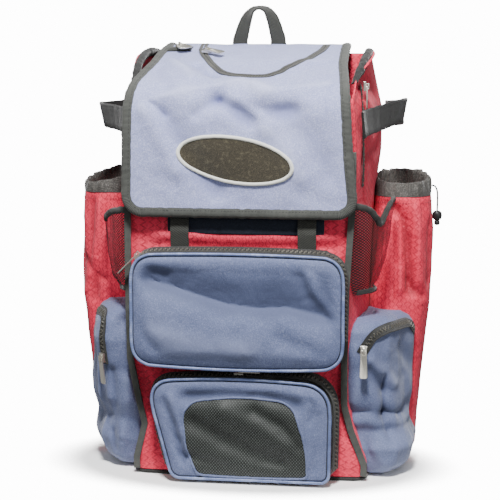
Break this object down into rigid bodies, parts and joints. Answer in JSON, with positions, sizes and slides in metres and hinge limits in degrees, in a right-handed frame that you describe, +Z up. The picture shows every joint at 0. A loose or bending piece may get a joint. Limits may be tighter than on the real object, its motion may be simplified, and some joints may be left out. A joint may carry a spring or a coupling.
{
  "type": "baseball bat backpack",
  "caption": "Soft sports backpack with a lid flap, a bat sleeve on each side, zipped front, side and shoe pockets, mesh pockets, bat straps and shoulder straps.",
  "frame": {"origin": "middle of the underside of the base panel, on the floor it stands on", "axes": "+Z up, the front with the pockets faces -Y, +X to the right of a viewer in front"},
  "size_m": [0.5249, 0.3128, 0.6491],
  "materials": {
    "webbing": "ribbed webbing",
    "red_cloth": "ripstop with a small raised pattern",
    "flap_cloth": "matt fine weave",
    "zip_tape": "woven tape with moulded teeth",
    "pile": "short pile with a pale stitched edge",
    "cuff_cloth": "thin gathered cloth",
    "pocket_cloth": "matt fine weave",
    "net": "open net",
    "strap_cloth": "matt",
    "black_plastic": "satin",
    "piping": "satin cord cover",
    "navy_cloth": "matt",
    "silver_metal": "worn bright"
  },
  "bodies": {
    "pack": {"base_panel": "webbing", "pack_body": "red_cloth", "lid_flap": "flap_cloth", "flap_binding": "webbing", "flap_zip": "zip_tape", "flap_patch": "pile", "top_handle": "webbing", "front_binding_left": "webbing", "bat_sleeve_left": "red_cloth", "sleeve_cuff_left": "cuff_cloth", "side_pocket_left": "pocket_cloth", "mesh_pocket_left": "net", "mesh_binding_left": "webbing", "bat_strap_left": "webbing", "side_pocket_zip_left": "zip_tape", "pack_zip_left": "zip_tape", "shoulder_strap_left": "strap_cloth", "strap_buckle_left": "black_plastic", "strap_web_left": "webbing", "front_binding_right": "webbing", "bat_sleeve_right": "red_cloth", "sleeve_cuff_right": "cuff_cloth", "side_pocket_right": "pocket_cloth", "mesh_pocket_right": "net", "mesh_binding_right": "webbing", "bat_strap_right": "webbing", "side_pocket_zip_right": "zip_tape", "pack_zip_right": "zip_tape", "shoulder_strap_right": "strap_cloth", "strap_buckle_right": "black_plastic", "strap_web_right": "webbing", "front_pocket": "pocket_cloth", "front_pocket_piping": "piping", "front_pocket_zip": "zip_tape", "shoe_pocket": "pocket_cloth", "shoe_pocket_mesh": "net", "shoe_pocket_piping": "piping", "shoe_pocket_zip": "zip_tape", "under_flap_panel": "navy_cloth", "flap_strap_left": "webbing", "flap_strap_right": "webbing", "back_pad": "net", "strap_yoke": "webbing", "flap_zip_slider": "silver_metal", "flap_corner_tab": "webbing", "main_zip_slider": "silver_metal", "pack_zip_right_slider": "silver_metal", "front_pocket_zip_slider": "silver_metal", "shoe_pocket_zip_slider": "silver_metal", "side_pocket_zip_left_slider": "silver_metal", "side_pocket_zip_right_slider": "silver_metal", "cuff_cord_right": "webbing", "cord_stop_right": "black_plastic"},
    "flap_zip_pull": {"flap_zip_pull": "silver_metal"},
    "main_zip_pull": {"main_zip_pull": "silver_metal"},
    "pack_zip_right_pull": {"pack_zip_right_pull": "silver_metal"},
    "front_pocket_zip_pull": {"front_pocket_zip_pull": "silver_metal"},
    "shoe_pocket_zip_pull": {"shoe_pocket_zip_pull": "silver_metal"},
    "side_pocket_zip_left_pull": {"side_pocket_zip_left_pull": "silver_metal"},
    "side_pocket_zip_right_pull": {"side_pocket_zip_right_pull": "silver_metal"}
  },
  "joints": [
    {"name": "flap_zip_hinge", "type": "hinge", "parent": "pack", "child": "flap_zip_pull", "pos_m": [-0.06192, 0.01114, 0.5882], "axis": [-0.5803, -0.7828, -0.2248], "range_deg": [0, 120]},
    {"name": "main_zip_hinge", "type": "hinge", "parent": "pack", "child": "main_zip_pull", "pos_m": [-0.10748, 0.04592, 0.59433], "axis": [-0.8581, -0.5009, -0.1134], "range_deg": [0, 120]},
    {"name": "pack_zip_right_hinge", "type": "hinge", "parent": "pack", "child": "pack_zip_right_pull", "pos_m": [0.1666, -0.04775, 0.53977], "axis": [0, -1, 0], "range_deg": [0, 120]},
    {"name": "front_pocket_zip_hinge", "type": "hinge", "parent": "pack", "child": "front_pocket_zip_pull", "pos_m": [-0.13986, -0.109, 0.31336], "axis": [0, 1, 0], "range_deg": [0, 100]},
    {"name": "shoe_pocket_zip_hinge", "type": "hinge", "parent": "pack", "child": "shoe_pocket_zip_pull", "pos_m": [0, -0.109, 0.1541], "axis": [0, -1, 0], "range_deg": [0, 10]},
    {"name": "side_pocket_zip_left_hinge", "type": "hinge", "parent": "pack", "child": "side_pocket_zip_left_pull", "pos_m": [-0.20128, -0.07508, 0.15936], "axis": [-0.7457, 0.6663, 0], "range_deg": [0, 120]},
    {"name": "side_pocket_zip_right_hinge", "type": "hinge", "parent": "pack", "child": "side_pocket_zip_right_pull", "pos_m": [0.1683, -0.08643, 0.18308], "axis": [-0.9942, -0.1078, 0], "range_deg": [0, 120]}
  ]
}
